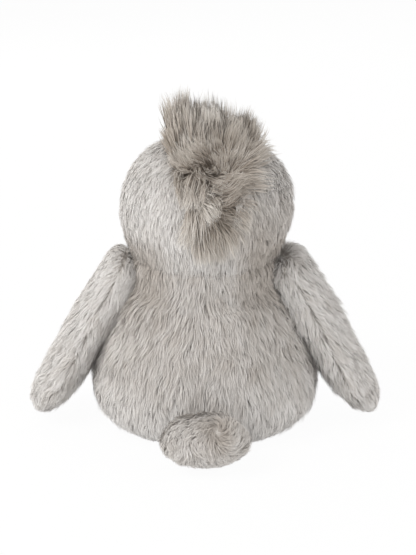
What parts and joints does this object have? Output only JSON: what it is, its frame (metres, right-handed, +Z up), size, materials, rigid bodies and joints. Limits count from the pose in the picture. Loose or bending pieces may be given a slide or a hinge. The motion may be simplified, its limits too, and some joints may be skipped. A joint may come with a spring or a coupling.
{
  "type": "plush penguin",
  "caption": "Seated furry plush penguin with hanging wings, a long-haired crest, suedette beak and feet, and a bag of pellets in the seat.",
  "frame": {"origin": "middle of the flat seat, on the surface that the penguin sits on", "axes": "+Z up, -Y the way the penguin faces, +X towards its left wing"},
  "size_m": [0.2438, 0.2366, 0.2341],
  "materials": {
    "grey_fur": "long grey pile, combed down, matte",
    "cream_fur": "short cream pile, matte",
    "taupe_fur": "extra long taupe pile with pale tips, matte",
    "tan_suedette": "brushed suedette, matte",
    "eye_black": "gloss",
    "washer_plastic": "matte",
    "fibre_filling": "loose polyester fibre, matte",
    "bag_cotton": "plain cotton, matte",
    "plastic_pellets": "matte",
    "sewing_thread": "matte"
  },
  "bodies": {
    "body": {"back_panel_left": "grey_fur", "back_panel_right": "grey_fur", "belly_panel": "cream_fur", "base_panel": "grey_fur", "body_stuffing": "fibre_filling", "pellet_bag_top": "bag_cotton", "pellet_bag_bottom": "bag_cotton", "pellet_fill": "plastic_pellets"},
    "neck": {"neck_stuffing": "fibre_filling", "neck_thread": "sewing_thread"},
    "head": {"head_side_left": "grey_fur", "head_side_right": "grey_fur", "crest_gusset": "taupe_fur", "face_panel": "cream_fur", "head_stuffing": "fibre_filling", "eye_left": "eye_black", "eye_right": "eye_black", "eye_washer_left": "washer_plastic", "eye_washer_right": "washer_plastic", "beak_upper": "tan_suedette", "beak_lower": "tan_suedette", "beak_stuffing": "fibre_filling"},
    "wing_left": {"wing_left_outer": "grey_fur", "wing_left_inner": "grey_fur", "wing_left_stuffing": "fibre_filling"},
    "wing_right": {"wing_right_outer": "grey_fur", "wing_right_inner": "grey_fur", "wing_right_stuffing": "fibre_filling"},
    "foot_left": {"foot_left_top": "tan_suedette", "foot_left_sole": "tan_suedette", "foot_left_stuffing": "fibre_filling"},
    "foot_right": {"foot_right_top": "tan_suedette", "foot_right_sole": "tan_suedette", "foot_right_stuffing": "fibre_filling"},
    "tail": {"tail_top": "grey_fur", "tail_under": "grey_fur", "tail_stuffing": "fibre_filling"}
  },
  "joints": [
    {"name": "head_turn", "type": "hinge", "parent": "body", "child": "neck", "pos_m": [0, 0, 0.098], "axis": [0, 0, 1], "range_deg": [-20, 20], "stiffness_Nm_per_rad": 0.25},
    {"name": "head_nod", "type": "hinge", "parent": "neck", "child": "head", "pos_m": [0, 0, 0.098], "axis": [1, 0, 0], "range_deg": [-6, 6], "stiffness_Nm_per_rad": 3},
    {"name": "wing_left_lift", "type": "hinge", "parent": "body", "child": "wing_left", "pos_m": [0.0605, 0, 0.119], "axis": [0, -1, 0], "range_deg": [0, 75]},
    {"name": "wing_right_lift", "type": "hinge", "parent": "body", "child": "wing_right", "pos_m": [-0.0605, 0, 0.119], "axis": [0, 1, 0], "range_deg": [0, 75]},
    {"name": "foot_left_flex", "type": "hinge", "parent": "body", "child": "foot_left", "pos_m": [0.033, -0.065, 0.00848], "axis": [-0.9511, -0.309, 0], "range_deg": [0, 40]},
    {"name": "foot_right_flex", "type": "hinge", "parent": "body", "child": "foot_right", "pos_m": [-0.033, -0.065, 0.00848], "axis": [-0.9511, 0.309, 0], "range_deg": [0, 40]},
    {"name": "tail_flex", "type": "hinge", "parent": "body", "child": "tail", "pos_m": [0, 0.0785, 0.0202], "axis": [1, 0, 0], "range_deg": [0, 25]}
  ]
}
